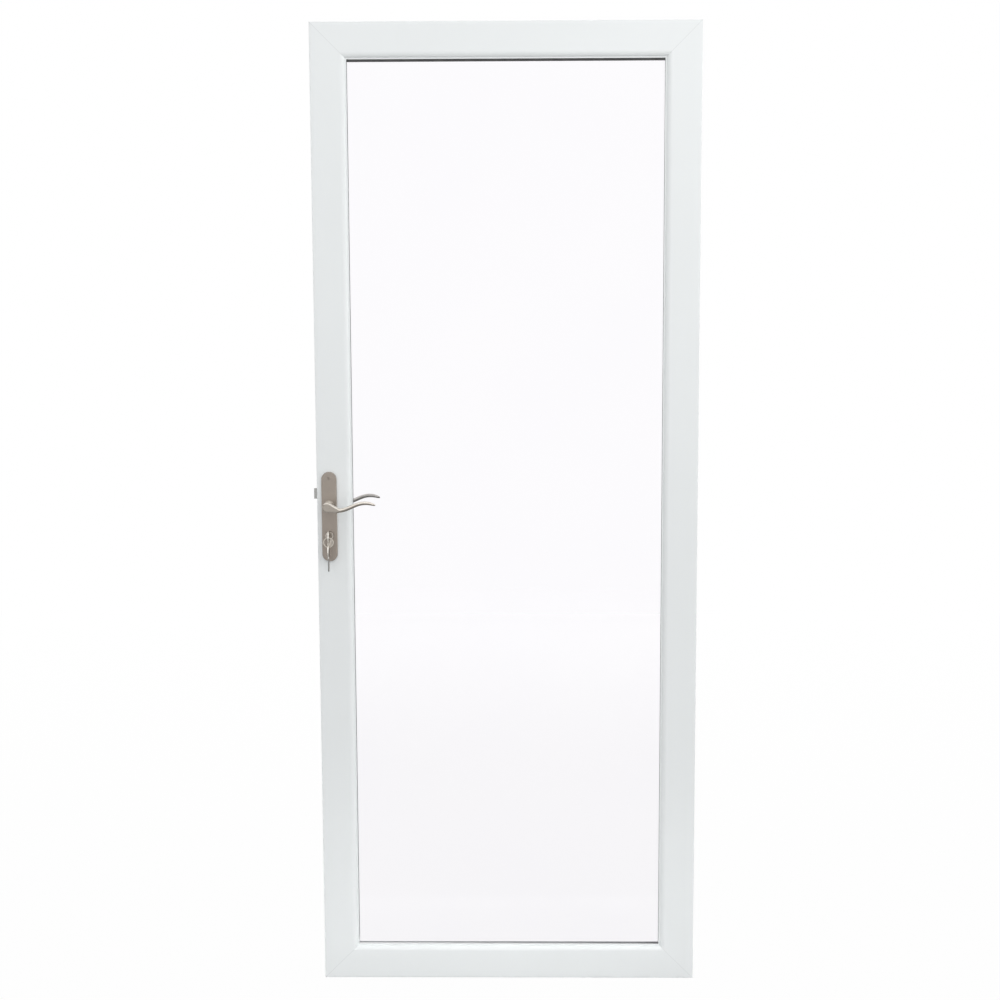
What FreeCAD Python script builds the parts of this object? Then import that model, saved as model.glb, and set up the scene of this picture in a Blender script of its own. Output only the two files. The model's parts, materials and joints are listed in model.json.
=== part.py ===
import FreeCAD, Part
import math
import os
from types import SimpleNamespace

import Sketcher

# A full-view aluminium storm door leaf with its lever set and keys. Millimetres and degrees.
# The hinge edge is the plane x = 0 and the lock edge is at x = -leaf_width.
# The front looks along -Y, the middle of the leaf's thickness is y = 0, and its foot is z = 0.

Vector = FreeCAD.Vector
SHEET = "Sizes"
NEAR = 0.01

SIZES = {
    # leaf and its hollow frame section
    "leaf_width": 800.0,
    "leaf_height": 2032.0,
    "leaf_thickness": 30.0,
    "face_width": 60.5,
    "tube_wall": 1.6,
    "edge_radius": 1.2,
    "edge_bevel": 7.0,
    "edge_drop": 0.3,
    # glazing
    "glass_thickness": 5.0,
    "glass_gap": 3.0,
    "gasket_thickness": 4.0,
    "gasket_cover": 6.0,
    "gasket_proud": 0.2,
    "gasket_top_proud": 5.0,
    "gasket_recess": 3.0,
    "gasket_nose": 0.3,
    "bead_wall": 1.4,
    "bead_width": 10.7,
    "lip_step": 1.6,
    "lip_width": 3.4,
    # hinge screw holes in the hinge edge
    "hinge_inset": 180.0,
    "hinge_hole_spacing": 50.0,
    "hinge_hole_radius": 2.2,
    "cutout_gap": 1.0,
    # lever set
    "backset": 26.0,
    "spindle_height": 1042.0,
    "plate_width": 31.5,
    "plate_height": 189.3,
    "plate_thickness": 8.0,
    "plate_rounding": 1.2,
    "plate_top": 69.3,
    "bush_radius": 10.0,
    "bush_proud": 2.0,
    "neck_radius": 8.5,
    "running_gap": 0.3,
    "spindle_side": 8.0,
    "spindle_reach": 20.0,
    "lever_stand_off": 46.5,
    "lever_length": 101.5,
    "lever_dip": 6.6,
    "lever_rise": 9.0,
    "lever_thickness": 8.5,
    "lever_depth": 18.0,
    "hub_radius": 10.0,
    "hub_rounding": 3.0,
    # lock
    "faceplate_width": 22.0,
    "faceplate_height": 200.0,
    "faceplate_thickness": 2.5,
    "case_thickness": 15.6,
    "case_depth": 48.0,
    "case_height": 160.0,
    "latch_rise": 22.0,
    "latch_height": 21.6,
    "latch_thickness": 12.0,
    "latch_throw": 7.0,
    "latch_nose": 3.5,
    "latch_tail": 20.0,
    "dead_bolt_height": 30.0,
    "dead_bolt_length": 16.0,
    "dead_bolt_drop": 48.0,
    "slide_gap": 0.4,
    # cylinder and keys
    "cylinder_drop": 65.0,
    "cylinder_radius": 8.5,
    "cylinder_leg": 5.0,
    "cylinder_height": 33.0,
    "cylinder_length": 52.0,
    "cylinder_gap": 0.6,
    "plug_radius": 6.0,
    "plug_proud": 0.5,
    "plug_gap": 0.1,
    "keyway_width": 2.7,
    "keyway_height": 8.6,
    "keyway_depth": 6.0,
    "key_thickness": 2.5,
    "bow_radius": 12.5,
    "bow_hole_radius": 2.6,
    "bow_hole_inset": 5.0,
    "key_neck": 3.0,
    "key_step": 0.4,
    "blade_length": 28.0,
    "blade_height": 8.2,
    "tooth_depth": 2.0,
    "ring_radius": 9.9,
    "ring_wire_radius": 1.2,
}


class Size:
    """A length that keeps its value and the sheet expression that it comes from."""

    def __init__(self, value, text):
        self.value = value
        self.text = text

    def joined(self, other, sign, value):
        return Size(value, f"({self.text} {sign} {other.text})")

    def __add__(self, other):
        other = as_size(other)
        return self.joined(other, "+", self.value + other.value)

    def __sub__(self, other):
        other = as_size(other)
        return self.joined(other, "-", self.value - other.value)

    def __mul__(self, other):
        other = as_size(other)
        return self.joined(other, "*", self.value * other.value)

    def __truediv__(self, other):
        other = as_size(other)
        return self.joined(other, "/", self.value / other.value)

    def __neg__(self):
        return as_size(0) - self


def as_size(number):
    """The size itself, or a plain number as a size."""
    if isinstance(number, Size):
        return number
    return Size(float(number), repr(float(number)))


def root(size):
    """The square root of a size."""
    return Size(math.sqrt(size.value), f"sqrt({size.text})")


def new_sheet(doc):
    """Write the driving sizes to the sheet and give them back by name."""
    sheet = doc.addObject("Spreadsheet::Sheet", SHEET)
    for row, (name, value) in enumerate(SIZES.items(), start=1):
        sheet.set(f"A{row}", name)
        sheet.set(f"B{row}", repr(value))
        sheet.setAlias(f"B{row}", name)
    doc.recompute()
    return SimpleNamespace(**{name: Size(value, f"{SHEET}.{name}") for name, value in SIZES.items()})


def bind(item, **sizes):
    """Bind properties of an object to sheet expressions."""
    for name, size in sizes.items():
        item.setExpression(name, as_size(size).text)


def place(item, x, y, z, rotation=FreeCAD.Rotation()):
    """Turn an object and bind the place of its origin."""
    corner = [as_size(size) for size in (x, y, z)]
    item.Placement = FreeCAD.Placement(Vector(*[size.value for size in corner]), rotation)
    for name, size in zip("xyz", corner):
        item.setExpression(f"Placement.Base.{name}", size.text)
    return item


def pin(sketch, curve, point, across, up):
    """Bind one point of a sketch curve to its place; None leaves that direction free."""
    for kind, size in (("DistanceX", across), ("DistanceY", up)):
        if size is None:
            continue
        size = as_size(size)
        number = sketch.addConstraint(Sketcher.Constraint(kind, -1, 1, curve, point, size.value))
        sketch.setExpression(f"Constraints[{number}]", size.text)


def fix_radius(sketch, curve, radius):
    """Bind the radius of a sketch circle or arc."""
    number = sketch.addConstraint(Sketcher.Constraint("Radius", curve, radius.value))
    sketch.setExpression(f"Constraints[{number}]", radius.text)


def new_sketch(body, name, plane, offset=None):
    """A sketch on one of the body's own planes, moved along its normal by offset."""
    sketch = body.newObject("Sketcher::SketchObject", name)
    support = [item for item in body.Origin.OriginFeatures if item.Role == plane][0]
    sketch.AttachmentSupport = [(support, "")]
    sketch.MapMode = "FlatFace"
    if offset is not None:
        sketch.setExpression("AttachmentOffset.Base.z", offset.text)
    return sketch


def flat(across, up):
    """A sketch point from two sizes."""
    return Vector(as_size(across).value, as_size(up).value, 0)


def add_loop(sketch, corners):
    """Draw a closed outline with every corner bound.

    A corner is (across, up), with a line to the next one, or (across, up, centre across, centre up,
    turn), with an arc to the next one that turns 1 for anticlockwise or -1 for clockwise.
    """
    first_curve = sketch.GeometryCount
    ends = []
    for number, corner in enumerate(corners):
        begin = flat(*corner[:2])
        end = flat(*corners[(number + 1) % len(corners)][:2])
        if len(corner) == 2:
            sketch.addGeometry(Part.LineSegment(begin, end), False)
            ends.append((1, 2))
            continue
        middle = flat(*corner[2:4])
        angles = [math.atan2(point.y - middle.y, point.x - middle.x) for point in (begin, end)]
        circle = Part.Circle(middle, Vector(0, 0, 1), (begin - middle).Length)
        sketch.addGeometry(Part.ArcOfCircle(circle, *angles[:: corner[4]]), False)
        ends.append((1, 2)[:: corner[4]])
    for number, corner in enumerate(corners):
        curve = first_curve + number
        after = (number + 1) % len(corners)
        sketch.addConstraint(
            Sketcher.Constraint("Coincident", curve, ends[number][1], first_curve + after, ends[after][0])
        )
        pin(sketch, curve, ends[number][0], *corner[:2])
        if len(corner) == 5:
            chord = flat(*corners[after][:2]) - flat(*corner[:2])
            level = abs(chord.x) >= abs(chord.y)
            pin(sketch, curve, 3, None if level else corner[2], corner[3] if level else None)


def add_circle(sketch, across, up, radius):
    """Draw a bound circle."""
    curve = sketch.addGeometry(Part.Circle(flat(across, up), Vector(0, 0, 1), radius.value), False)
    pin(sketch, curve, 3, across, up)
    fix_radius(sketch, curve, radius)


def rectangle(left, bottom, right, top):
    """The corners of an upright rectangle."""
    return [(left, bottom), (right, bottom), (right, top), (left, top)]


def upright_slot(across, bottom, top, half_width):
    """The corners of an upright outline with round ends."""
    low = bottom + half_width
    high = top - half_width
    return [
        (across + half_width, low),
        (across + half_width, high, across, high, 1),
        (across - half_width, high),
        (across - half_width, low, across, low, 1),
    ]


def pad(body, sketch, length, symmetric=False):
    """Raise a sketch along its normal, or to both sides of its plane."""
    feature = body.newObject("PartDesign::Pad", f"{sketch.Name}_pad")
    feature.Profile = sketch
    feature.SideType = "Symmetric" if symmetric else "One side"
    bind(feature, Length=length)
    return feature


def pocket(body, sketch, depth=None, symmetric=True, towards_normal=False):
    """Cut a sketch to both sides of its plane, or from it; no depth means right through."""
    feature = body.newObject("PartDesign::Pocket", f"{sketch.Name}_cut")
    feature.Profile = sketch
    feature.SideType = "Symmetric" if symmetric else "One side"
    feature.Reversed = towards_normal
    if depth is None:
        feature.Type = "ThroughAll"
    else:
        bind(feature, Length=depth)
    return feature


def dress(body, kind, base, chosen, **sizes):
    """Fillet or chamfer the edges of a feature that chosen picks."""
    body.Document.recompute()
    names = [f"Edge{number}" for number, edge in enumerate(base.Shape.Edges, start=1) if chosen(edge)]
    feature = body.newObject(f"PartDesign::{kind}", f"{body.Name}_{kind.lower()}")
    feature.Base = (base, names)
    bind(feature, **sizes)
    return feature


def lies_at(edge, axis, place_on_axis):
    """Whether an edge lies in the plane at that place on the axis x, y or z."""
    reach = edge.BoundBox
    ends = (getattr(reach, f"{axis}Min"), getattr(reach, f"{axis}Max"))
    return all(abs(end - place_on_axis) < NEAR for end in ends)


def derive(s):
    """Add the places that follow from the driving sizes."""
    s.half_leaf = s.leaf_thickness / 2
    s.lip_back = s.glass_thickness / 2 + s.gasket_thickness
    s.lip_front = s.lip_back + s.bead_wall
    s.bead_low = s.lip_front + s.lip_step
    bead_depth = s.half_leaf - s.bead_low
    s.bead_radius = (s.bead_width * s.bead_width + bead_depth * bead_depth) / (bead_depth * 2)
    s.bead_centre = s.half_leaf - s.bead_radius
    s.bead_inside = s.bead_radius - s.bead_wall
    s.bead_edge = s.face_width + s.bead_width
    rise = s.bead_low - s.bead_centre
    s.bead_inner_edge = s.face_width + root(s.bead_inside * s.bead_inside - rise * rise)
    s.opening_inset = s.bead_edge + s.lip_width
    s.lock_x = s.backset - s.leaf_width
    s.key_height = s.spindle_height - s.cylinder_drop
    s.latch_height_centre = s.spindle_height + s.latch_rise
    s.lever_centre = s.half_leaf + s.lever_stand_off
    s.plate_high = s.spindle_height + s.plate_top
    s.plate_low = s.plate_high - s.plate_height
    s.plate_middle = s.plate_high - s.plate_height / 2
    s.dead_bolt_centre = s.spindle_height - s.dead_bolt_drop
    s.cylinder_front = s.cylinder_length / 2
    s.plug_front = s.cylinder_front + s.plug_proud
    s.plug_length = s.blade_length + s.plug_proud
    s.key_half = s.blade_height / 2 + s.key_step
    s.bow_centre = s.bow_radius - s.bow_hole_inset
    s.key_shoulder = s.bow_centre + root(s.bow_radius * s.bow_radius - s.key_half * s.key_half) + s.key_neck
    s.key_hole_y = -s.plug_front - s.key_shoulder
    s.hole_slack = s.bow_hole_radius - s.ring_wire_radius - s.running_gap
    s.ring_top = s.key_height - s.hole_slack
    s.ring_foot = s.ring_top - s.ring_radius * 2
    return s


def frame_section(s):
    """Outline of the frame extrusion: bevelled tube, bead shoulder and the fixed lip behind."""
    f = s.half_leaf
    corner = f - s.edge_drop - s.edge_radius
    r = s.edge_radius
    face = s.face_width
    shoulder = face + s.bead_wall
    return [
        (-f, s.edge_bevel),
        (-f, face),
        (-s.lip_front, face),
        (-s.lip_front, shoulder),
        (-s.lip_back, shoulder),
        (-s.lip_back, face),
        (f - s.bead_wall, face, s.bead_centre, face, 1),
        (s.bead_low, s.bead_inner_edge),
        (s.lip_back, s.bead_inner_edge),
        (s.lip_back, s.opening_inset),
        (s.lip_front, s.opening_inset),
        (s.lip_front, s.bead_edge),
        (s.bead_low, s.bead_edge, s.bead_centre, face, -1),
        (f, face),
        (f, s.edge_bevel),
        (f - s.edge_drop, r, corner, r, -1),
        (corner, as_size(0)),
        (-corner, as_size(0), -corner, r, -1),
        (s.edge_drop - f, r),
    ]


def frame_hollow(s):
    """Outline of the hollow in the frame extrusion, with its outer corners cut off."""
    half = s.half_leaf - s.tube_wall
    near = s.tube_wall
    far = s.face_width - s.tube_wall
    r = s.edge_radius
    return [
        (-half, near + r),
        (-half, far),
        (half, far),
        (half, near + r),
        (half - r, near),
        (r - half, near),
    ]


def bead_section(s):
    """Outline of a snap-in glazing bead: a round front, a lip and a leg on the shoulder."""
    face = s.face_width
    leg = face + s.bead_wall
    leg_front = s.bead_centre + root(s.bead_inside * s.bead_inside - s.bead_wall * s.bead_wall)
    return [
        (-s.half_leaf, face, -s.bead_centre, face, -1),
        (-s.bead_low, s.bead_edge),
        (-s.lip_front, s.bead_edge),
        (-s.lip_front, s.opening_inset),
        (-s.lip_back, s.opening_inset),
        (-s.lip_back, s.bead_inner_edge),
        (-s.bead_low, s.bead_inner_edge, -s.bead_centre, face, 1),
        (-leg_front, leg),
        (-s.lip_front, leg),
        (-s.lip_front, face),
    ]


def member(doc, s, label, length, loops):
    """A length of extrusion along X with its outer edge at z = 0, mitred at both ends."""
    body = doc.addObject("PartDesign::Body", label)
    section = new_sketch(body, f"{label}_section", "YZ_Plane")
    for loop in loops:
        add_loop(section, loop)
    pad(body, section, length)
    mitre = new_sketch(body, f"{label}_mitre", "XZ_Plane")
    reach = s.opening_inset + s.cutout_gap
    zero = as_size(0)
    add_loop(mitre, [(zero, zero), (reach, reach), (zero, reach)])
    add_loop(mitre, [(length, zero), (length, reach), (length - reach, reach)])
    pocket(body, mitre)
    return body


def around_leaf(doc, s, names, loops):
    """Four mitred members round the leaf, named for the bottom, top, lock and hinge sides."""
    bottom, top, lock, hinge = names
    upright = Vector(0, 1, 0)
    width = s.leaf_width
    height = s.leaf_height
    return [
        place(member(doc, s, bottom, width, loops), -width, 0, 0),
        place(member(doc, s, top, width, loops), 0, 0, height, FreeCAD.Rotation(upright, 180)),
        place(member(doc, s, lock, height, loops), -width, 0, height, FreeCAD.Rotation(upright, 90)),
        place(member(doc, s, hinge, height, loops), 0, 0, 0, FreeCAD.Rotation(upright, -90)),
    ]


def cut_lock_stile(s, body):
    """Cut the stile for the spindle, the cylinder and the faceplate; its length runs down from the top."""
    through = new_sketch(body, "lock_stile_through", "XZ_Plane")
    add_circle(through, s.leaf_height - s.spindle_height, s.backset, s.bush_radius)
    near = s.leaf_height - s.key_height - s.cylinder_radius - s.cutout_gap
    far = near + s.cylinder_height + s.cutout_gap * 2
    half = s.cylinder_radius + s.cutout_gap
    add_loop(through, rectangle(near, s.backset - half, far, s.backset + half))
    pocket(body, through)
    mortise = new_sketch(body, "lock_stile_mortise", "XY_Plane")
    half_width = s.faceplate_width / 2 + s.slide_gap / 2
    half_height = s.faceplate_height / 2 + s.slide_gap / 2
    middle = s.leaf_height - s.plate_middle
    add_loop(mortise, rectangle(middle - half_height, -half_width, middle + half_height, half_width))
    pocket(body, mortise, (s.tube_wall + s.cutout_gap) * 2)


def drill_hinge_stile(s, body):
    """Drill the screw holes of three hinges in the hinge edge; its length runs up from the foot."""
    holes = new_sketch(body, "hinge_stile_holes", "XY_Plane")
    heights = (s.hinge_inset, s.leaf_height / 2, s.leaf_height - s.hinge_inset)
    for height in heights:
        for side in (-1, 1):
            add_circle(holes, height + s.hinge_hole_spacing * (side / 2), as_size(0), s.hinge_hole_radius)
    pocket(body, holes, (s.tube_wall + s.cutout_gap) * 2)


def frame(doc, s):
    """The mitred frame with its cut-outs."""
    names = ("bottom_rail", "top_rail", "lock_stile", "hinge_stile")
    members = around_leaf(doc, s, names, [frame_section(s), frame_hollow(s)])
    cut_lock_stile(s, members[2])
    drill_hinge_stile(s, members[3])
    return members


def beads(doc, s):
    """The front glazing beads."""
    names = ("front_bead_bottom", "front_bead_top", "front_bead_lock_side", "front_bead_hinge_side")
    return around_leaf(doc, s, names, [bead_section(s)])


def glass(doc, s):
    """The pane, standing clear of the frame all round."""
    pane = doc.addObject("Part::Box", "glass_pane")
    inset = s.face_width + s.glass_gap
    bind(pane, Length=s.leaf_width - inset * 2, Width=s.glass_thickness, Height=s.leaf_height - inset * 2)
    return place(pane, inset - s.leaf_width, -s.glass_thickness / 2, inset)


def gasket(doc, s, label, back_face, nose_side, reach, top_reach):
    """A continuous strip between pane and lip that reaches past the lip, its inner edge bevelled."""
    body = doc.addObject("PartDesign::Body", label)
    ring = new_sketch(body, f"{label}_ring", "XZ_Plane")
    outer = s.opening_inset - s.gasket_cover
    inner = s.opening_inset + reach
    top = s.leaf_height - s.opening_inset - top_reach
    add_loop(ring, rectangle(outer - s.leaf_width, outer, -outer, s.leaf_height - outer))
    add_loop(ring, rectangle(inner - s.leaf_width, inner, -inner, top))
    strip = pad(body, ring, s.gasket_thickness)
    depth = -s.gasket_thickness.value if nose_side < 0 else 0.0

    def on_nose(edge):
        ends = edge.BoundBox
        inside = ends.XMin > (inner - s.leaf_width).value - NEAR and ends.XMax < NEAR - inner.value
        return inside and lies_at(edge, "Y", depth)

    dress(body, "Chamfer", strip, on_nose, Size=s.gasket_nose)
    return place(body, 0, back_face, 0)


def backplate(doc, s):
    """The front backplate: a round-ended plate with a rounded rim, bored for lever and cylinder."""
    body = doc.addObject("PartDesign::Body", "front_backplate")
    outline = new_sketch(body, "backplate_outline", "XZ_Plane")
    add_loop(outline, upright_slot(s.lock_x, s.plate_low, s.plate_high, s.plate_width / 2))
    raised = pad(body, outline, s.plate_thickness)
    dress(body, "Fillet", raised, lambda e: lies_at(e, "Y", -s.plate_thickness.value), Radius=s.plate_rounding)
    bores = new_sketch(body, "backplate_bores", "XZ_Plane")
    add_circle(bores, s.lock_x, s.spindle_height, s.bush_radius + s.plug_gap)
    add_loop(bores, cylinder_outline(s, s.lock_x, s.key_height, s.cylinder_gap))
    pocket(body, bores)
    return place(body, 0, -s.half_leaf, 0)


def bush(doc, s):
    """The ring that the front lever turns in."""
    outer = cylinder_along_y(doc, "lever_bush_outside", s.bush_radius, s.plate_thickness + s.bush_proud)
    inner = cylinder_along_y(doc, "lever_bush_bore", s.neck_radius + s.running_gap, s.lever_stand_off)
    for item in (outer, inner):
        place(item, s.lock_x, -s.half_leaf, s.spindle_height, FreeCAD.Rotation(Vector(1, 0, 0), 90))
    return cut(doc, "front_lever_bush", outer, inner)


def cylinder_along_y(doc, name, radius, length):
    """A plain cylinder, to be turned towards the front."""
    item = doc.addObject("Part::Cylinder", name)
    bind(item, Radius=radius, Height=length)
    return item


def cut(doc, label, base, tool):
    """One solid less another."""
    item = doc.addObject("Part::Cut", label)
    item.Base = base
    item.Tool = tool
    return item


def lever_head(doc, s):
    """The flat pear-shaped head of the lever, round the spindle and narrowing towards the arm."""
    body = doc.addObject("PartDesign::Body", "lever_head")
    pear = new_sketch(body, "lever_pear", "XZ_Plane")
    big = s.hub_radius
    small = s.lever_thickness / 2
    tip_x = s.lever_length * ARM_ROOT
    tip_z = -s.lever_dip
    apart = math.hypot(tip_x.value, tip_z.value)
    lean = math.atan2(tip_z.value, tip_x.value)
    spread = math.acos((big.value - small.value) / apart)
    up = lean + spread
    down = lean - spread
    tip = flat(tip_x, tip_z)

    def rim(middle, radius, angle):
        return middle + Vector(math.cos(angle), math.sin(angle), 0) * radius.value

    normal = Vector(0, 0, 1)
    hub_arc = Part.ArcOfCircle(Part.Circle(Vector(), normal, big.value), up, down + 2 * math.pi)
    tip_arc = Part.ArcOfCircle(Part.Circle(tip, normal, small.value), down, up)
    lower = Part.LineSegment(rim(Vector(), big, down), rim(tip, small, down))
    upper = Part.LineSegment(rim(tip, small, up), rim(Vector(), big, up))
    pear.addGeometry([hub_arc, lower, tip_arc, upper], False)
    for curve in range(4):
        pear.addConstraint(Sketcher.Constraint("Tangent", curve, 2, (curve + 1) % 4, 1))
    pin(pear, 0, 3, as_size(0), as_size(0))
    pin(pear, 2, 3, tip_x, tip_z)
    fix_radius(pear, 0, big)
    fix_radius(pear, 2, small)
    raised = pad(body, pear, s.lever_depth, symmetric=True)
    half = s.lever_depth.value / 2

    def on_rim(edge):
        return lies_at(edge, "Y", half) or lies_at(edge, "Y", -half)

    dress(body, "Fillet", raised, on_rim, Radius=s.hub_rounding)
    return place(body, s.lock_x, -s.lever_centre, s.spindle_height)


# The arm leaves the head at one part of the lever's length, crests at another, and loses a share
# of its thickness before the round tip.
ARM_ROOT = 0.22
ARM_CREST = 0.78
ARM_TAPER = 0.15
ARM_STATIONS = (0.0, 0.15, 0.3, 0.45, 0.6, 0.75, 0.86, 0.94, 0.985)


def lever_arm(doc, s):
    """The arm: oval sections along one wave, lowest at the head, narrowing to a round tip."""
    sections = []
    swing = s.lever_rise + s.lever_dip
    crest_run = s.lever_length * (ARM_CREST - ARM_ROOT)
    for number, station in enumerate(ARM_STATIONS, start=1):
        phase = math.pi * station * (1 - ARM_ROOT) / (ARM_CREST - ARM_ROOT)
        lift = swing * ((1 - math.cos(phase)) / 2)
        slope = math.pi / 2 * math.sin(phase) * swing.value / crest_run.value
        along = Vector(1, 0, slope).normalize()
        fullness = (1 - ARM_TAPER * station) * math.sqrt(1 - station**8)
        oval = doc.addObject("Part::Ellipse", f"arm_section_{number}")
        bind(oval, MajorRadius=s.lever_depth * (fullness / 2), MinorRadius=s.lever_thickness * (fullness / 2))
        across = Vector(0, 1, 0)
        turn = FreeCAD.Rotation(across, along.cross(across), along, "ZXY")
        run = s.lever_length * (ARM_ROOT + station * (1 - ARM_ROOT))
        place(oval, s.lock_x + run, -s.lever_centre, s.spindle_height - s.lever_dip + lift, turn)
        sections.append(oval)
    arm = doc.addObject("Part::Loft", "lever_arm")
    arm.Sections = sections
    arm.Solid = True
    return arm


def lever(doc, s):
    """The front lever: neck, head and arm in one, with a square socket for the spindle."""
    neck = cylinder_along_y(doc, "lever_neck", s.neck_radius, s.lever_stand_off - s.lever_depth / 4)
    place(neck, s.lock_x, -s.half_leaf - s.cutout_gap, s.spindle_height, FreeCAD.Rotation(Vector(1, 0, 0), 90))
    whole = doc.addObject("Part::MultiFuse", "lever_whole")
    whole.Shapes = [neck, lever_head(doc, s), lever_arm(doc, s)]
    side = s.spindle_side + s.plug_gap * 2
    socket = doc.addObject("Part::Box", "lever_socket")
    bind(socket, Length=side, Width=s.spindle_reach + s.plug_gap, Height=side)
    back = s.half_leaf + s.spindle_reach + s.plug_gap
    place(socket, s.lock_x - side / 2, -back, s.spindle_height - side / 2)
    return cut(doc, "front_lever", whole, socket)


def spindle(doc, s):
    """The square bar between the levers."""
    bar = doc.addObject("Part::Box", "spindle")
    half = s.half_leaf + s.spindle_reach
    side = s.spindle_side
    bind(bar, Length=side, Width=half * 2, Height=side)
    return place(bar, s.lock_x - side / 2, -half, s.spindle_height - side / 2)


def to_back(doc, label, item):
    """The same piece on the other side of the leaf."""
    twin = doc.addObject("Part::Mirroring", label)
    twin.Source = item
    twin.Normal = Vector(0, 1, 0)
    return twin


def faceplate(doc, s):
    """The plate let into the lock edge, with openings for both bolts."""
    body = doc.addObject("PartDesign::Body", "lock_faceplate")
    outline = new_sketch(body, "faceplate_outline", "YZ_Plane")
    half_width = s.faceplate_width / 2
    half_height = s.faceplate_height / 2
    add_loop(
        outline,
        rectangle(-half_width, s.plate_middle - half_height, half_width, s.plate_middle + half_height),
    )
    for loop in bolt_outlines(s, s.slide_gap):
        add_loop(outline, loop)
    pad(body, outline, s.faceplate_thickness)
    return place(body, -s.leaf_width, 0, 0)


def bolt_outlines(s, gap):
    """End outlines of the latch bolt and the dead bolt, grown by a gap."""
    half = s.latch_thickness / 2 + gap
    latch = s.latch_height / 2 + gap
    dead = s.dead_bolt_height / 2 + gap
    return [
        rectangle(-half, s.latch_height_centre - latch, half, s.latch_height_centre + latch),
        rectangle(-half, s.dead_bolt_centre - dead, half, s.dead_bolt_centre + dead),
    ]


def lock_case(doc, s):
    """The case behind the faceplate, open for the bolts, the spindle and the cylinder."""
    body = doc.addObject("PartDesign::Body", "lock_case")
    end = new_sketch(body, "case_end", "YZ_Plane")
    half = s.case_thickness / 2
    half_height = s.case_height / 2
    add_loop(end, rectangle(-half, s.plate_middle - half_height, half, s.plate_middle + half_height))
    pad(body, end, s.case_depth)
    latch_loop, dead_loop = bolt_outlines(s, s.slide_gap)
    room = s.latch_tail + s.latch_throw + s.slide_gap
    for name, loop, depth in (
        ("latch", latch_loop, room),
        ("dead_bolt", dead_loop, s.dead_bolt_length),
    ):
        channel = new_sketch(body, f"case_{name}", "YZ_Plane")
        add_loop(channel, loop)
        pocket(body, channel, depth, symmetric=False, towards_normal=True)
    through = new_sketch(body, "case_through", "XZ_Plane")
    across = s.backset - s.faceplate_thickness
    add_circle(through, across, s.spindle_height, s.spindle_side)
    add_loop(through, cylinder_outline(s, across, s.key_height, s.slide_gap))
    pocket(body, through)
    return place(body, s.faceplate_thickness - s.leaf_width, 0, 0)


def latch_bolt(doc, s):
    """The sprung latch, flat to the front and bevelled behind."""
    body = doc.addObject("PartDesign::Body", "latch_bolt")
    plan = new_sketch(body, "latch_plan", "XY_Plane")
    half = s.latch_thickness / 2
    corners = [
        (-s.latch_throw, -half),
        (s.latch_tail, -half),
        (s.latch_tail, half),
        (as_size(0), half),
        (-s.latch_throw, s.latch_nose - half),
    ]
    add_loop(plan, corners)
    pad(body, plan, s.latch_height, symmetric=True)
    return place(body, -s.leaf_width, 0, s.latch_height_centre)


def dead_bolt(doc, s):
    """The square bolt, thrown back so that it is flush with the faceplate."""
    bolt = doc.addObject("Part::Box", "dead_bolt")
    bind(bolt, Length=s.dead_bolt_length, Width=s.latch_thickness, Height=s.dead_bolt_height)
    return place(bolt, -s.leaf_width, -s.latch_thickness / 2, s.dead_bolt_centre - s.dead_bolt_height / 2)


def cylinder_outline(s, across, up, gap):
    """Round top and narrower leg of the lock cylinder's profile, grown by a gap."""
    radius = s.cylinder_radius + gap
    leg = s.cylinder_leg + gap
    join = up - root(radius * radius - leg * leg)
    foot = up + s.cylinder_radius - s.cylinder_height + s.cylinder_leg
    return [
        (across + leg, join, across, up, 1),
        (across - leg, join),
        (across - leg, foot, across, foot, 1),
        (across + leg, foot),
    ]


def cylinder_body(doc, s):
    """The lock cylinder, bored for the front plug and with a keyway in its back."""
    body = doc.addObject("PartDesign::Body", "cylinder_body")
    zero = as_size(0)
    profile = new_sketch(body, "cylinder_profile", "XZ_Plane")
    add_loop(profile, cylinder_outline(s, zero, zero, zero))
    pad(body, profile, s.cylinder_length, symmetric=True)
    bore = new_sketch(body, "cylinder_bore", "XZ_Plane", s.cylinder_front)
    add_circle(bore, zero, zero, s.plug_radius + s.plug_gap)
    pocket(body, bore, s.plug_length, symmetric=False)
    keyway = new_sketch(body, "cylinder_keyway", "XZ_Plane", -s.cylinder_front)
    half_width = s.keyway_width / 2
    half_height = s.keyway_height / 2
    add_loop(keyway, rectangle(-half_width, -half_height, half_width, half_height))
    pocket(body, keyway, s.keyway_depth, symmetric=False, towards_normal=True)
    return place(body, s.lock_x, 0, s.key_height)


def cylinder_plug(doc, s):
    """The plug that turns with the key, slotted for its blade."""
    turn = FreeCAD.Rotation(Vector(1, 0, 0), -90)
    barrel = cylinder_along_y(doc, "plug_barrel", s.plug_radius, s.plug_length - s.plug_gap)
    place(barrel, s.lock_x, -s.plug_front, s.key_height, turn)
    slot = doc.addObject("Part::Box", "plug_keyway")
    bind(slot, Length=s.keyway_width, Width=s.plug_length + s.keyway_depth, Height=s.keyway_height)
    left = s.lock_x - s.keyway_width / 2
    place(slot, left, -s.plug_front - s.keyway_depth, s.key_height - s.keyway_height / 2)
    return cut(doc, "cylinder_plug", barrel, slot)


# The blade's cuts fill this share of its length.
TEETH = 5
CUT_SHARE = 0.85


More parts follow.
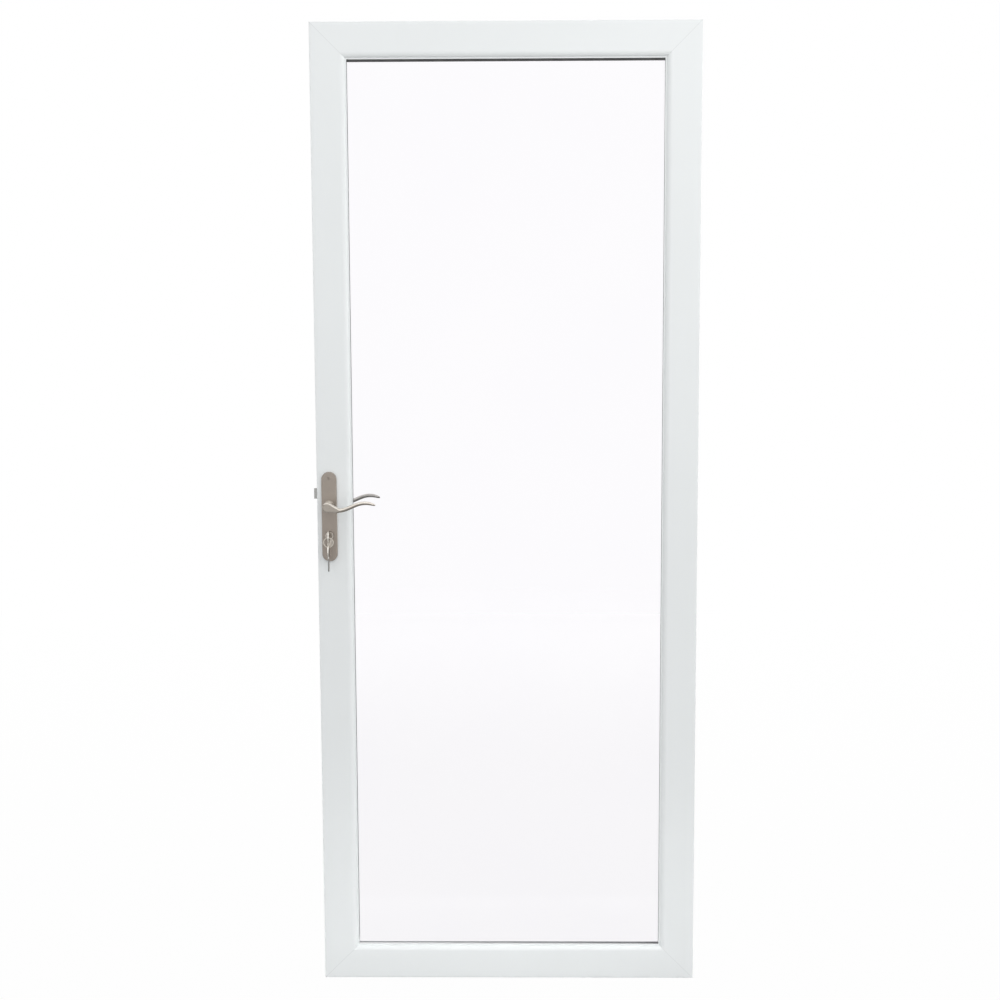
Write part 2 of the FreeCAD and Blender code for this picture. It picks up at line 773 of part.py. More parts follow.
def key(doc, s, label):
    """A flat key with a round bow; its ring hole is at the origin and its blade points to +Y."""
    body = doc.addObject("PartDesign::Body", label)
    side = new_sketch(body, f"{label}_side", "YZ_Plane")
    half = s.key_half
    centre = s.bow_centre
    neck = s.key_shoulder - s.key_neck
    low = -s.blade_height / 2
    high = s.blade_height / 2
    cut_end = s.key_shoulder + s.blade_length * CUT_SHARE
    pitch = (cut_end - s.key_shoulder) / TEETH
    end = s.key_shoulder + s.blade_length
    corners = [(neck, half, centre, as_size(0), 1), (neck, -half), (s.key_shoulder, -half)]
    corners += [(s.key_shoulder, low), (cut_end, low), (end, low + s.tooth_depth), (cut_end, high)]
    for number in range(TEETH - 1, -1, -1):
        corners.append((s.key_shoulder + pitch * (number + 0.5), high - s.tooth_depth))
        corners.append((s.key_shoulder + pitch * number, high))
    corners.append((s.key_shoulder, half))
    add_loop(side, corners)
    add_circle(side, as_size(0), as_size(0), s.bow_hole_radius)
    pad(body, side, s.key_thickness, symmetric=True)
    return body


def key_ring(doc, s):
    """The ring through both bows."""
    ring = doc.addObject("Part::Torus", "key_ring")
    bind(ring, Radius1=s.ring_radius, Radius2=s.ring_wire_radius)
    turn = FreeCAD.Rotation(Vector(1, 0, 0), 90)
    return place(ring, s.lock_x, s.key_hole_y, s.ring_top - s.ring_radius, turn)


def keys(doc, s):
    """The key in the plug, the ring and the spare key that hangs from it."""
    fitted = place(key(doc, s, "key"), s.lock_x, s.key_hole_y, s.key_height)
    hanging = FreeCAD.Rotation(Vector(1, 0, 0), -90)
    spare = place(key(doc, s, "spare_key"), s.lock_x, s.key_hole_y, s.ring_foot - s.hole_slack, hanging)
    return [fitted, key_ring(doc, s), spare]


def lever_set(doc, s):
    """Backplates, bushes, levers and spindle on both sides."""
    pieces = [spindle(doc, s)]
    for name, item in (
        ("back_backplate", backplate(doc, s)),
        ("back_lever_bush", bush(doc, s)),
        ("back_lever", lever(doc, s)),
    ):
        pieces += [item, to_back(doc, name, item)]
    return pieces


def lock(doc, s):
    """The mortise lock and its cylinder."""
    return [
        faceplate(doc, s),
        lock_case(doc, s),
        latch_bolt(doc, s),
        dead_bolt(doc, s),
        cylinder_body(doc, s),
        cylinder_plug(doc, s),
    ]


def glazing(doc, s):
    """Pane, gaskets and beads: the front gasket shows most along the top, the back one is set in."""
    pane_face = s.glass_thickness / 2
    front = gasket(doc, s, "front_gasket", -pane_face, -1, s.gasket_proud, s.gasket_top_proud)
    back = gasket(doc, s, "back_gasket", s.lip_back, 1, -s.gasket_recess, -s.gasket_recess)
    return [glass(doc, s), front, back] + beads(doc, s)


def write(doc, pieces):
    """Check every object and write each piece to its own file."""
    for item in doc.Objects:
        if "Invalid" in item.State or "Error" in item.State:
            raise RuntimeError(f"{item.Label} did not build: {item.State}")
    for piece in pieces:
        shape = piece.Shape
        if shape.isNull() or not shape.isValid() or not shape.Solids:
            raise RuntimeError(f"{piece.Label} has no valid solid")
        shape.exportStep(f"parts/{piece.Label}.step")


def main():
    os.makedirs("parts", exist_ok=True)
    doc = FreeCAD.newDocument("storm_door")
    s = new_sheet(doc)
    derive(s)
    pieces = frame(doc, s) + glazing(doc, s) + lever_set(doc, s) + lock(doc, s) + keys(doc, s)
    doc.recompute()
    write(doc, pieces)


main()
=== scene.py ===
import json
import math

import bmesh
import bpy
from mathutils import Matrix, Vector


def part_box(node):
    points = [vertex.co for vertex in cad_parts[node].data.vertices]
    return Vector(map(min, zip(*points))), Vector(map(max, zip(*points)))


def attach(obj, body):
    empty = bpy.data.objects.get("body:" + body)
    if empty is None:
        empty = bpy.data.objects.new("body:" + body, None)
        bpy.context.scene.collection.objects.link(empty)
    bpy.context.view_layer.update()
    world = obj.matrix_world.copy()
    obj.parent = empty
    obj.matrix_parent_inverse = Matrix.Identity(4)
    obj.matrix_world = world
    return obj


# Looks of the storm door leaf: paint, glass, rubber and satin metal on the CAD nodes, the screw
# heads of the lever set, and a pale studio seen from the photograph's place. Metres.

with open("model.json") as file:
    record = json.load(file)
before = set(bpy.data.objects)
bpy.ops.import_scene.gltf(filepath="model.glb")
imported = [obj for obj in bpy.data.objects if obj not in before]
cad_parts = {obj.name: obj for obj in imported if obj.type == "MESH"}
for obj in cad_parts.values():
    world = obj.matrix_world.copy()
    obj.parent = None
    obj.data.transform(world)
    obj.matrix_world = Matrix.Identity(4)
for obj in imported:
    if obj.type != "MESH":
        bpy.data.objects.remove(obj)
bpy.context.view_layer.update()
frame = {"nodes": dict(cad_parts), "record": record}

LEAF_LOW, LEAF_HIGH = Vector(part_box("lock_stile")[0]), Vector(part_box("hinge_stile")[1])
LEAF_MIDDLE = (LEAF_LOW + LEAF_HIGH) / 2
PLATE_LOW, PLATE_HIGH = (Vector(corner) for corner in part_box("front_backplate"))
PLATE_MIDDLE = (PLATE_LOW.x + PLATE_HIGH.x) / 2

# Most values of a noise texture lie in this span.
NOISE_SPAN = (0.3, 0.7)
# A Mix node has several sockets of each name, so its colours go by number.
MIX_FIRST, MIX_SECOND, MIX_RESULT = 6, 7, 2


class Nodes:
    """A node tree with the few node kinds that the finishes and the studio share."""

    def __init__(self, tree, coordinates):
        self.tree = tree
        self.place = self.node("ShaderNodeTexCoord").outputs[coordinates]

    def node(self, kind, **settings):
        """A new node of a kind, with its settings by name."""
        item = self.tree.nodes.new(kind)
        for name, value in settings.items():
            setattr(item, name, value)
        return item

    def join(self, source, target):
        """Link an output socket to an input socket."""
        self.tree.links.new(source, target)

    def axes(self, vector=None):
        """The X, Y and Z of a vector, or else of the coordinates, by name."""
        item = self.node("ShaderNodeSeparateXYZ")
        self.join(vector or self.place, item.inputs["Vector"])
        return item.outputs

    def stretched(self, scale):
        """The coordinates multiplied by a scale along each axis."""
        mapping = self.node("ShaderNodeMapping")
        mapping.inputs["Scale"].default_value = scale
        self.join(self.place, mapping.inputs["Vector"])
        return mapping.outputs["Vector"]

    def noise(self, scale, detail=3.0, stretch=None):
        """A noise texture; the larger its scale, the finer it is."""
        item = self.node("ShaderNodeTexNoise")
        item.inputs["Scale"].default_value = scale
        item.inputs["Detail"].default_value = detail
        self.join(self.stretched(stretch) if stretch else self.place, item.inputs["Vector"])
        return item.outputs["Fac"]

    def between(self, value, low, high, start, end, smooth=False):
        """A value mapped from start..end to low..high and held there."""
        item = self.node("ShaderNodeMapRange")
        item.interpolation_type = "SMOOTHSTEP" if smooth else "LINEAR"
        for name, number in (("From Min", start), ("From Max", end), ("To Min", low), ("To Max", high)):
            item.inputs[name].default_value = number
        self.join(value, item.inputs["Value"])
        return item.outputs["Result"]

    def spread(self, noise, low=0.0, high=1.0):
        """A noise spread over low..high."""
        return self.between(noise, low, high, *NOISE_SPAN)

    def blend(self, amount, first, second):
        """A colour between two others; each is a colour or a socket."""
        item = self.node("ShaderNodeMix", data_type="RGBA")
        self.join(amount, item.inputs["Factor"])
        for number, colour in ((MIX_FIRST, first), (MIX_SECOND, second)):
            if isinstance(colour, tuple):
                item.inputs[number].default_value = (*colour, 1.0)
            else:
                self.join(colour, item.inputs[number])
        return item.outputs[MIX_RESULT]

    def calculate(self, operation, first, second=0.0):
        """One sum on two values; each is a number or a socket."""
        item = self.node("ShaderNodeMath", operation=operation)
        for socket, value in zip(item.inputs, (first, second)):
            if isinstance(value, float):
                socket.default_value = value
            else:
                self.join(value, socket)
        return item.outputs["Value"]


class Shader(Nodes):
    """A material built round one Principled surface."""

    def __init__(self, name):
        self.material = bpy.data.materials.new(name)
        self.material.use_nodes = True
        super().__init__(self.material.node_tree, "Object")
        self.surface = self.tree.nodes["Principled BSDF"]

    def fixed(self, **values):
        """Set constants on the surface by socket name, with spaces written as underscores."""
        for name, value in values.items():
            self.surface.inputs[name.replace("_", " ")].default_value = value

    def drive(self, **sockets):
        """Link sockets to the surface by input name, with spaces written as underscores."""
        for name, source in sockets.items():
            self.join(source, self.surface.inputs[name.replace("_", " ")])

    def facing(self, axis):
        """How far the surface faces along an axis, from -1 to 1."""
        return self.axes(self.node("ShaderNodeTexCoord").outputs["Normal"])[axis]

    def base_colour(self):
        """The socket that the base colour comes from so far."""
        return self.surface.inputs["Base Color"].links[0].from_socket

    def bump(self, height, distance, strength):
        """The normal of a surface raised by a height."""
        item = self.node("ShaderNodeBump")
        item.inputs["Distance"].default_value = distance
        item.inputs["Strength"].default_value = strength
        self.join(height, item.inputs["Height"])
        return item.outputs["Normal"]


SOFT_DETAIL = 2.0
PAINT_WHITES = ((0.775, 0.80, 0.805), (0.755, 0.78, 0.785))
PAINT_DRIFT_SCALE = 2.2
PAINT_GLOSS_SCALE = 40.0
PAINT_ROUGHNESS = (0.34, 0.44)
PAINT_SPECULAR = 0.45
PEEL_SCALE = 900.0
PEEL_HEIGHT = 0.00006
PEEL_STRENGTH = 0.35
MITRE_LINE = 0.0006
MITRE_CORE = 0.3 * MITRE_LINE
JOINT_GREY = (0.60, 0.62, 0.625)


def mitre_distance(s):
    """How far a point on the leaf is from the mitre line of its nearest corner."""
    reach = (LEAF_HIGH - LEAF_LOW) / 2
    axes = s.axes()
    edges = []
    for axis in ("X", "Z"):
        index = "XYZ".index(axis)
        off = s.calculate("ABSOLUTE", s.calculate("SUBTRACT", axes[axis], LEAF_MIDDLE[index]))
        edges.append(s.calculate("SUBTRACT", reach[index], off))
    return s.calculate("ABSOLUTE", s.calculate("SUBTRACT", *edges))


def white_paint():
    """Powder-coated aluminium: a broad drift of tone, a fine orange peel and hairline mitres."""
    s = Shader("white_paint")
    paint = s.blend(s.spread(s.noise(PAINT_DRIFT_SCALE, SOFT_DETAIL)), *PAINT_WHITES)
    joint = s.between(mitre_distance(s), 1.0, 0.0, MITRE_CORE, MITRE_LINE)
    s.drive(Base_Color=s.blend(joint, paint, JOINT_GREY))
    s.drive(Roughness=s.spread(s.noise(PAINT_GLOSS_SCALE), *PAINT_ROUGHNESS))
    s.drive(Normal=s.bump(s.noise(PEEL_SCALE, SOFT_DETAIL), PEEL_HEIGHT, PEEL_STRENGTH))
    s.fixed(Specular_IOR_Level=PAINT_SPECULAR)
    return s


GLASS_TINTS = ((0.975, 0.965, 0.988), (0.985, 0.975, 0.992))
GLASS_TINT_SCALE = 3.0
GLASS_IOR = 1.45
WAVE_SCALE = 4.0
WAVE_DETAIL = 1.0
WAVE_HEIGHT = 0.0004
WAVE_STRENGTH = 0.25


def clear_glass():
    """Clear pane with a breath of lavender and very faint waviness."""
    s = Shader("clear_glass")
    s.drive(Base_Color=s.blend(s.spread(s.noise(GLASS_TINT_SCALE, SOFT_DETAIL)), *GLASS_TINTS))
    s.drive(Normal=s.bump(s.noise(WAVE_SCALE, WAVE_DETAIL), WAVE_HEIGHT, WAVE_STRENGTH))
    s.fixed(Roughness=0.0, IOR=GLASS_IOR, Transmission_Weight=1.0)
    return s


RUBBER_BLACKS = ((0.03, 0.03, 0.032), (0.06, 0.06, 0.06))
RUBBER_CLOUD_SCALE = 60.0
RUBBER_GLOSS_SCALE = 300.0
RUBBER_ROUGHNESS = (0.45, 0.6)
RUBBER_GRAIN_SCALE = 700.0
RUBBER_GRAIN_HEIGHT = 0.0001
RUBBER_GRAIN_STRENGTH = 0.5
# Painted light: a pale band on the gaskets' foot, fading from the lock side toward the hinge side.
GASKET_FOOT_PAINTED_LIGHT = (0.93, 0.935, 0.935)
PAINTED_LIGHT_HEIGHT = 0.012
PAINTED_LIGHT_AT_HINGE = 0.15


def black_rubber():
    """Matt gasket rubber with painted light along its foot, strongest at the lock side."""
    s = Shader("black_rubber")
    low, high = (Vector(corner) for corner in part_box("front_gasket"))
    rubber = s.blend(s.spread(s.noise(RUBBER_CLOUD_SCALE)), *RUBBER_BLACKS)
    foot = s.between(s.axes()["Z"], 1.0, 0.0, low.z + PAINTED_LIGHT_HEIGHT, low.z + 2 * PAINTED_LIGHT_HEIGHT)
    lock_side = s.between(s.axes()["X"], 1.0, PAINTED_LIGHT_AT_HINGE, low.x, high.x)
    s.drive(Base_Color=s.blend(s.calculate("MULTIPLY", foot, lock_side), rubber, GASKET_FOOT_PAINTED_LIGHT))
    s.drive(Roughness=s.spread(s.noise(RUBBER_GLOSS_SCALE), *RUBBER_ROUGHNESS))
    s.drive(Normal=s.bump(s.noise(RUBBER_GRAIN_SCALE), RUBBER_GRAIN_HEIGHT, RUBBER_GRAIN_STRENGTH))
    return s


ACROSS_GRAIN = 5000.0
ALONG_GRAIN = 120.0
GRAIN_UP = (ACROSS_GRAIN, ACROSS_GRAIN, ALONG_GRAIN)
GRAIN_ACROSS = (ALONG_GRAIN, ACROSS_GRAIN, ACROSS_GRAIN)
STREAK_DETAIL = 4.0
STREAK_HEIGHT = 0.00004
STREAK_STRENGTH = 0.4
SMOOTHER_STREAK = 0.06
ROUGHER_STREAK = 0.08
METAL_CLOUD_SCALE = 35.0
DULL_EDGE = (0.6, 0.58, 0.55, 1.0)
SATIN = 0.3


def brushed(name, tones, grain, roughness=SATIN, metallic=1.0):
    """Brushed metal: streaks along the axis where grain is small, duller at grazing angles."""
    s = Shader(name)
    streak = s.noise(1.0, STREAK_DETAIL, grain)
    cloud = s.spread(s.noise(METAL_CLOUD_SCALE))
    s.drive(Base_Color=s.blend(s.calculate("MULTIPLY", s.spread(streak), cloud), *tones))
    s.drive(Roughness=s.spread(streak, roughness - SMOOTHER_STREAK, roughness + ROUGHER_STREAK))
    s.drive(Normal=s.bump(streak, STREAK_HEIGHT, STREAK_STRENGTH))
    s.fixed(Metallic=metallic, Specular_Tint=DULL_EDGE)
    return s


# A tilt is the part of a surface's facing over which one tone gives way to another.
# Painted highlight: the levers' upward faces are painted paler and less metallic, as if lit from above.
TOP_HIGHLIGHT_TILT = (0.3, 0.8)
PAINTED_LIGHT_METALLIC = 0.45
# Painted light: the downward faces of the lever heads are painted paler and less metallic, lightening the
# shade under them.
UNDER_TILT = (-0.7, -0.2)
HEAD_UNDERSIDE_PAINTED_LIGHT = (0.62, 0.57, 0.51)
HEAD_LENGTH = 0.022
HEAD_END = (PLATE_MIDDLE + 0.8 * HEAD_LENGTH, PLATE_MIDDLE + HEAD_LENGTH)


def lever_with_painted_light(name, tones, top_highlight_tone):
    """Satin nickel with a painted highlight on its upper side and painted light under its head."""
    s = brushed(name, tones, GRAIN_ACROSS)
    upward = s.facing("Z")
    top_highlight = s.between(upward, 0.0, 1.0, *TOP_HIGHLIGHT_TILT, smooth=True)
    head = s.between(s.axes()["X"], 1.0, 0.0, *HEAD_END, smooth=True)
    # Painted light on the downward faces of the head.
    lit_underside = s.calculate("MULTIPLY", head, s.between(upward, 1.0, 0.0, *UNDER_TILT, smooth=True))
    metal = s.blend(lit_underside, s.base_colour(), HEAD_UNDERSIDE_PAINTED_LIGHT)
    s.drive(Base_Color=s.blend(top_highlight, metal, top_highlight_tone))
    s.drive(Metallic=s.between(s.calculate("MAXIMUM", top_highlight, lit_underside), 1.0, PAINTED_LIGHT_METALLIC, 0.0, 1.0))
    return s


KEY_NICKEL = ((0.60, 0.565, 0.52), (0.52, 0.49, 0.45))
# Painted highlight on the sides of the keys, paler and less metallic than their faces.
KEY_SIDE_HIGHLIGHT = (0.93, 0.89, 0.83)
KEY_HIGHLIGHT_METALLIC = 0.75
KEY_SIDE_TILT = (0.4, 0.6)
# Painted shade on the sides of the spare key's blade.
BLADE_SIDE_SHADE = (0.27, 0.27, 0.265)
BLADE_SHARE = 0.55
BLADE_FADE = 0.004


def key_metal():
    """Keys of dull nickel, with a painted highlight along their sides above the spare key's blade and
    painted shade along the sides of that blade.
    """
    s = brushed("key_nickel", KEY_NICKEL, GRAIN_UP)
    low, high = (corner[2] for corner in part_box("spare_key"))
    blade_top = low + BLADE_SHARE * (high - low)
    blade = s.between(s.axes()["Z"], 1.0, 0.0, blade_top - BLADE_FADE, blade_top, smooth=True)
    painted_side = s.between(s.calculate("ABSOLUTE", s.facing("X")), 0.0, 1.0, *KEY_SIDE_TILT)
    s.drive(Base_Color=s.blend(painted_side, s.blend(blade, KEY_SIDE_HIGHLIGHT, BLADE_SIDE_SHADE), s.base_colour()))
    s.drive(Metallic=s.between(painted_side, KEY_HIGHLIGHT_METALLIC, 1.0, 0.0, 1.0))
    return s


# Each metal has a light and a dark tone for its streaks.
PLATE_NICKEL = ((0.375, 0.329, 0.289), (0.332, 0.29, 0.255))
PLATE_ROUGHNESS = 0.42
PLATE_METALLIC = 0.7
# Painted light: the lever bushes are a paler, less metallic copy of the plate's nickel, lightening the shade
# round the lever necks.
BUSH_LIT_NICKEL = ((0.56, 0.51, 0.455), (0.50, 0.455, 0.405))
BUSH_ROUGHNESS = 0.45
BUSH_METALLIC = 0.4
LOCK_STEEL = ((0.43, 0.43, 0.42), (0.37, 0.37, 0.36))
# Painted highlight: the lock cylinder is painted much paler than its plug and the plate.
CYLINDER_HIGHLIGHT_NICKEL = ((0.70, 0.65, 0.59), (0.62, 0.575, 0.52))
PLUG_NICKEL = ((0.40, 0.36, 0.32), (0.34, 0.305, 0.27))
RING_STEEL = ((0.66, 0.615, 0.55), (0.57, 0.53, 0.475))
RING_ROUGHNESS = 0.5
RING_METALLIC = 0.55
FRONT_LEVER_NICKEL = ((0.43, 0.39, 0.345), (0.375, 0.34, 0.30))
# Painted highlights on the upper sides of the levers.
FRONT_TOP_HIGHLIGHT = (0.85, 0.80, 0.73)
# Painted shade: the back lever is a darker copy of the front lever's nickel, with a darker painted highlight
# too.
BACK_LEVER_SHADED_NICKEL = ((0.35, 0.345, 0.32), (0.305, 0.30, 0.28))
BACK_TOP_HIGHLIGHT = (0.52, 0.505, 0.475)


def dress_nodes():
    """Give every CAD node its own finish, or else that of its material slot."""
    # Painted light on both lever bushes.
    bush = brushed("bush_lit_nickel", BUSH_LIT_NICKEL, GRAIN_UP, BUSH_ROUGHNESS, BUSH_METALLIC)
    finishes = {
        "white_paint": white_paint(),
        "clear_glass": clear_glass(),
        "black_rubber": black_rubber(),
        "satin_nickel": brushed("satin_nickel", PLATE_NICKEL, GRAIN_UP, PLATE_ROUGHNESS, PLATE_METALLIC),
        "lock_steel": brushed("lock_steel", LOCK_STEEL, GRAIN_UP),
        "cylinder_nickel": brushed("cylinder_nickel", CYLINDER_HIGHLIGHT_NICKEL, GRAIN_ACROSS),
        "cylinder_plug": brushed("plug_nickel", PLUG_NICKEL, GRAIN_ACROSS),
        "key_nickel": key_metal(),
        "ring_steel": brushed("ring_steel", RING_STEEL, GRAIN_ACROSS, RING_ROUGHNESS, RING_METALLIC),
        "front_lever_bush": bush,
        "back_lever_bush": bush,
        # The levers carry painted highlights and painted light under their heads; the back lever's tones are
        # painted shade.
        "front_lever": lever_with_painted_light("front_lever_nickel", FRONT_LEVER_NICKEL, FRONT_TOP_HIGHLIGHT),
        "back_lever": lever_with_painted_light("back_lever_shaded_nickel", BACK_LEVER_SHADED_NICKEL, BACK_TOP_HIGHLIGHT),
    }
    for row in frame["record"]["subparts"]:
        finish = finishes.get(row["node"], finishes[row["material_slot"]])
        slots = frame["nodes"][row["node"]].data.materials
        slots.clear()
        slots.append(finish.material)
    return finishes


SCREW_RADIUS = 0.0036
SCREW_DOME = 0.0006
SKIRT_SHARE = 0.8
SKIRT_DEPTH = 0.0012
CROSS_ARM = 0.0020
CROSS_WIDTH = 0.00055
CROSS_DEPTH = 0.0009
CROSS_RISE = 0.5
RINGS = 14
SPOKES = 48


def screw_height(across, up):
    """Height of a domed screw head at a point from its middle, with a cross recess that rises outward."""
    radius = math.hypot(across, up)
    dome = SCREW_DOME * (1 - (radius / SCREW_RADIUS) ** 2)
    narrow = min(abs(across), abs(up))
    far = max(abs(across), abs(up))
    inside = narrow < CROSS_WIDTH and far < CROSS_ARM
    return dome - (CROSS_DEPTH * (1 - CROSS_RISE * far / CROSS_ARM) if inside else 0.0)


def screw_mesh(name):
    """A closed countersunk screw head: rings of points over its dome, a tapered skirt and a foot."""
    shape = bmesh.new()
    rings = []
    for ring in range(RINGS + 1):
        radius = SCREW_RADIUS * ring / RINGS
        points = []
        for spoke in range(SPOKES if ring else 1):
            angle = 2 * math.pi * spoke / SPOKES
            across, up = radius * math.cos(angle), radius * math.sin(angle)
            points.append(shape.verts.new((across, up, screw_height(across, up))))
        rings.append(points)
    rings.append([shape.verts.new((*(SKIRT_SHARE * v.co.xy), -SKIRT_DEPTH)) for v in rings[-1]])
    for spoke in range(SPOKES):
        after = (spoke + 1) % SPOKES
        shape.faces.new((rings[0][0], rings[1][spoke], rings[1][after]))
        for inner, outer in zip(rings[1:], rings[2:]):
            shape.faces.new((inner[spoke], outer[spoke], outer[after], inner[after]))
    shape.faces.new(reversed(rings[-1]))
    mesh = bpy.data.meshes.new(name)
    shape.to_mesh(mesh)
    shape.free()
    return mesh


def screw_head(name, centre, outward, turn, finish):
    """A screw head facing outward, with its cross turned by an angle."""
    item = bpy.data.objects.new(name, screw_mesh(name))
    bpy.context.scene.collection.objects.link(item)
    face = Vector(outward).to_track_quat("Z", "Y").to_matrix().to_4x4()
    item.matrix_world = Matrix.Translation(centre) @ face @ Matrix.Rotation(turn, 4, "Z")
    item.data.materials.append(finish.material)
    return item


SCREW_INSET = 0.012
SCREW_TURN = 0.7


def add_screws(finishes):
    """Screw heads at both ends of both backplates and of the faceplate, each turned a little further."""
    heights = (PLATE_LOW.z + SCREW_INSET, PLATE_HIGH.z - SCREW_INSET)
    front = PLATE_LOW.y
    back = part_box("back_backplate")[1][1]
    edge_low, edge_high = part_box("lock_faceplate")
    edge = edge_low[0]
    edge_heights = (edge_low[2] + SCREW_INSET, edge_high[2] - SCREW_INSET)
    spots = []
    for label, height, edge_height in zip(("lower", "upper"), heights, edge_heights):
        spots.append((f"front_{label}_screw", (PLATE_MIDDLE, front, height), (0, -1, 0), "satin_nickel"))
        spots.append((f"back_{label}_screw", (PLATE_MIDDLE, back, height), (0, 1, 0), "satin_nickel"))
        spots.append((f"edge_{label}_screw", (edge, 0.0, edge_height), (-1, 0, 0), "lock_steel"))
    for number, (name, centre, outward, slot) in enumerate(spots):
        head = screw_head(name, centre, outward, SCREW_TURN * number, finishes[slot])
        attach(head, "leaf")


WHITE = (1.0, 1.0, 1.0)
HALF_A_BOUNCE = 0.5


def white_to_the_eye(n, behind):
    """1 for camera rays and the view through glass, and for reflections of what stands behind the door."""
    path = n.node("ShaderNodeLightPath")
    unmirrored = n.calculate("LESS_THAN", path.outputs["Glossy Depth"], HALF_A_BOUNCE)
    through = n.calculate("MULTIPLY", path.outputs["Is Transmission Ray"], unmirrored)
    seen = n.calculate("MAXIMUM", path.outputs["Is Camera Ray"], through)
    mirrored = n.calculate("MULTIPLY", path.outputs["Is Glossy Ray"], behind)
    return n.calculate("MAXIMUM", seen, mirrored)


# Depths on the floor are along Y, with the door at 0 and the camera on the negative side.
FLOOR_DROP = 0.002
FLOOR_REACH = 12.0
FLOOR_FRONT = 4.6
FLOOR_ROUGHNESS = 0.9
FLOOR_GREYS = ((0.24, 0.24, 0.24), (0.26, 0.26, 0.26))
FLOOR_PALE = (0.75, 0.75, 0.75)
FLOOR_PALE_DEPTHS = (-3.6, -1.4)
FLOOR_BEHIND_DEPTHS = (0.6, 1.5)
FLOOR_GLOW = 0.985
FLOOR_GLOW_DEPTHS = (0.5, 4.0)


def pale_stage():
    """A wide floor, white to the eye as in the photograph, that keeps a soft shadow."""
    middle = (LEAF_MIDDLE.x, FLOOR_REACH - FLOOR_FRONT, -FLOOR_DROP)
    bpy.ops.mesh.primitive_plane_add(size=2 * FLOOR_REACH, location=middle)
    floor = bpy.context.object
    floor.name = "studio_floor"
    s = Shader("studio_floor")
    s.fixed(Roughness=FLOOR_ROUGHNESS)
    depth = s.calculate("ADD", s.axes()["Y"], middle[1])
    pale = s.between(depth, 1.0, 0.0, *FLOOR_PALE_DEPTHS, smooth=True)
    s.drive(Base_Color=s.blend(pale, s.blend(s.noise(1.0), *FLOOR_GREYS), FLOOR_PALE))
    behind = s.between(depth, 0.0, 1.0, *FLOOR_BEHIND_DEPTHS, smooth=True)
    share = s.between(depth, FLOOR_GLOW, 1.0, *FLOOR_GLOW_DEPTHS)
    glow = s.node("ShaderNodeEmission")
    mixer = s.node("ShaderNodeMixShader")
    s.join(s.calculate("MULTIPLY", white_to_the_eye(s, behind), share), mixer.inputs["Fac"])
    s.join(s.surface.outputs["BSDF"], mixer.inputs[1])
    s.join(glow.outputs["Emission"], mixer.inputs[2])
    s.join(mixer.outputs["Shader"], s.tree.nodes["Material Output"].inputs["Surface"])
    floor.data.materials.append(s.material)


# A turn is the part of a direction's Y or Z over which one side of the room gives way to another.
END_WALL = 0.95
SIDE_WALL = 0.2
WALL_TURN = (0.6, 0.97)
CEILING = 1.4
CEILING_TURN = (0.45, 0.85)
BACKDROP_TURN = (0.1, 0.5)


def studio_world():
    """White beyond both faces of the door, dim at the sides, with a bright ceiling."""
    world = bpy.data.worlds.new("studio")
    bpy.context.scene.world = world
    world.use_nodes = True
    n = Nodes(world.node_tree, "Generated")
    axes = n.axes()
    walls = n.between(n.calculate("ABSOLUTE", axes["Y"]), SIDE_WALL, END_WALL, *WALL_TURN, smooth=True)
    ceiling = n.between(axes["Z"], 0.0, CEILING, *CEILING_TURN, smooth=True)
    backdrop = n.between(axes["Y"], 0.0, 1.0, *BACKDROP_TURN, smooth=True)
    room = n.calculate("MAXIMUM", walls, ceiling)
    back = world.node_tree.nodes["Background"]
    n.join(n.blend(white_to_the_eye(n, backdrop), room, WHITE), back.inputs["Color"])


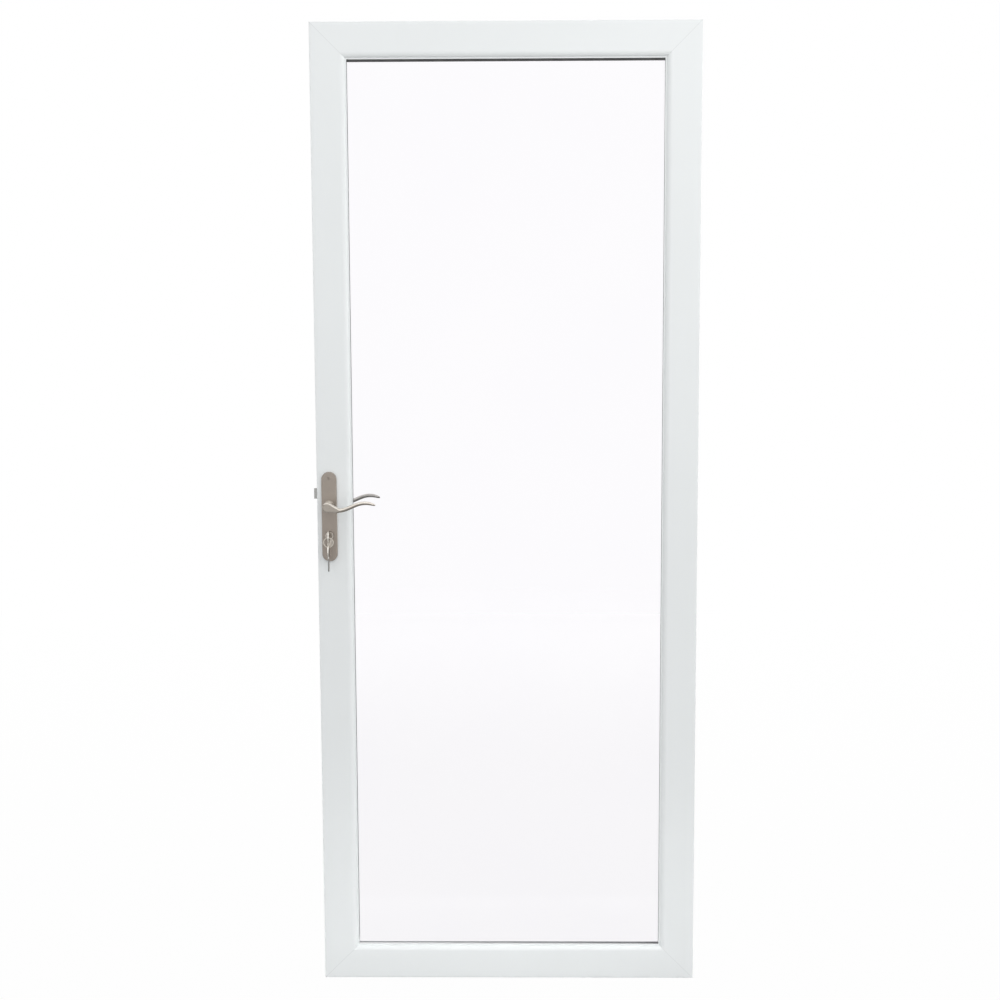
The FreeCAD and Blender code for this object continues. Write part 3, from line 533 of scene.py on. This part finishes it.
AIM = (LEAF_MIDDLE.x, 0.0, 1.1)
WARM = (1.0, 0.985, 0.97)
SIDE_BOX = (2.0, 3.0)
FILL_BOX = (4.0, 3.0)
LAMPS = {
    "key_light": {"place": (1.1, -1.6, 3.0), "size": (1.0, 1.0), "power": 10.1, "colour": WARM},
    "right_light": {"place": (6.0, -1.2, 1.3), "size": SIDE_BOX, "power": 138.0},
    "left_light": {"place": (-6.8, -1.2, 1.3), "size": SIDE_BOX, "power": 52.0},
}
FILLS = {
    "low_fill": {"place": (-0.45, -0.5, 0.06), "aim": (-0.45, 0.0, 0.05), "size": (1.2, 0.06), "power": 1.1},
    "front_fill": {"place": (LEAF_MIDDLE.x, -4.6, 2.6), "size": FILL_BOX, "power": 56.6},
    "back_fill": {"place": (LEAF_MIDDLE.x, 4.6, 2.6), "size": FILL_BOX, "power": 112.0},
}


def lamp(name, place, size, power, aim=AIM, colour=WHITE):
    """A soft box at a place, aimed at a point."""
    data = bpy.data.lights.new(name, "AREA")
    data.shape = "RECTANGLE"
    data.size, data.size_y = size
    data.energy = power
    data.color = colour
    item = bpy.data.objects.new(name, data)
    item.visible_camera = False
    bpy.context.scene.collection.objects.link(item)
    item.location = place
    item.rotation_euler = (Vector(aim) - Vector(place)).to_track_quat("-Z", "Y").to_euler()
    return item


def light_studio():
    """A soft key above and to the right, a box at each side, and fills that metal and glass don't show."""
    for name, settings in LAMPS.items():
        lamp(name, **settings)
    for name, settings in FILLS.items():
        fill = lamp(name, **settings)
        fill.visible_glossy = False
        fill.visible_transmission = False


# Where the photograph was taken from, worked out from the leaf's four corners. Angles in degrees.
CAMERA_PLACE = (-0.3596, -3.7617, 1.5633)
CAMERA_YAW = 0.848
CAMERA_PITCH = -7.788
CAMERA_ROLL = -0.231
FOCAL_LENGTH_IN_WIDTHS = 1.8
SENSOR_WIDTH = 36.0


def photo_camera():
    """The camera at the photograph's place and angle."""
    data = bpy.data.cameras.new("photo_camera")
    data.sensor_width = SENSOR_WIDTH
    data.lens = SENSOR_WIDTH * FOCAL_LENGTH_IN_WIDTHS
    data.sensor_fit = "HORIZONTAL"
    item = bpy.data.objects.new("photo_camera", data)
    bpy.context.scene.collection.objects.link(item)
    turn = Matrix.Rotation(math.radians(CAMERA_YAW), 4, "Z")
    tilt = Matrix.Rotation(math.radians(90 + CAMERA_PITCH), 4, "X")
    roll = Matrix.Rotation(math.radians(CAMERA_ROLL), 4, "Z")
    item.matrix_world = Matrix.Translation(CAMERA_PLACE) @ turn @ tilt @ roll
    bpy.context.scene.camera = item


add_screws(dress_nodes())
pale_stage()
studio_world()
light_studio()
photo_camera()
bpy.context.scene.view_settings.view_transform = "Standard"
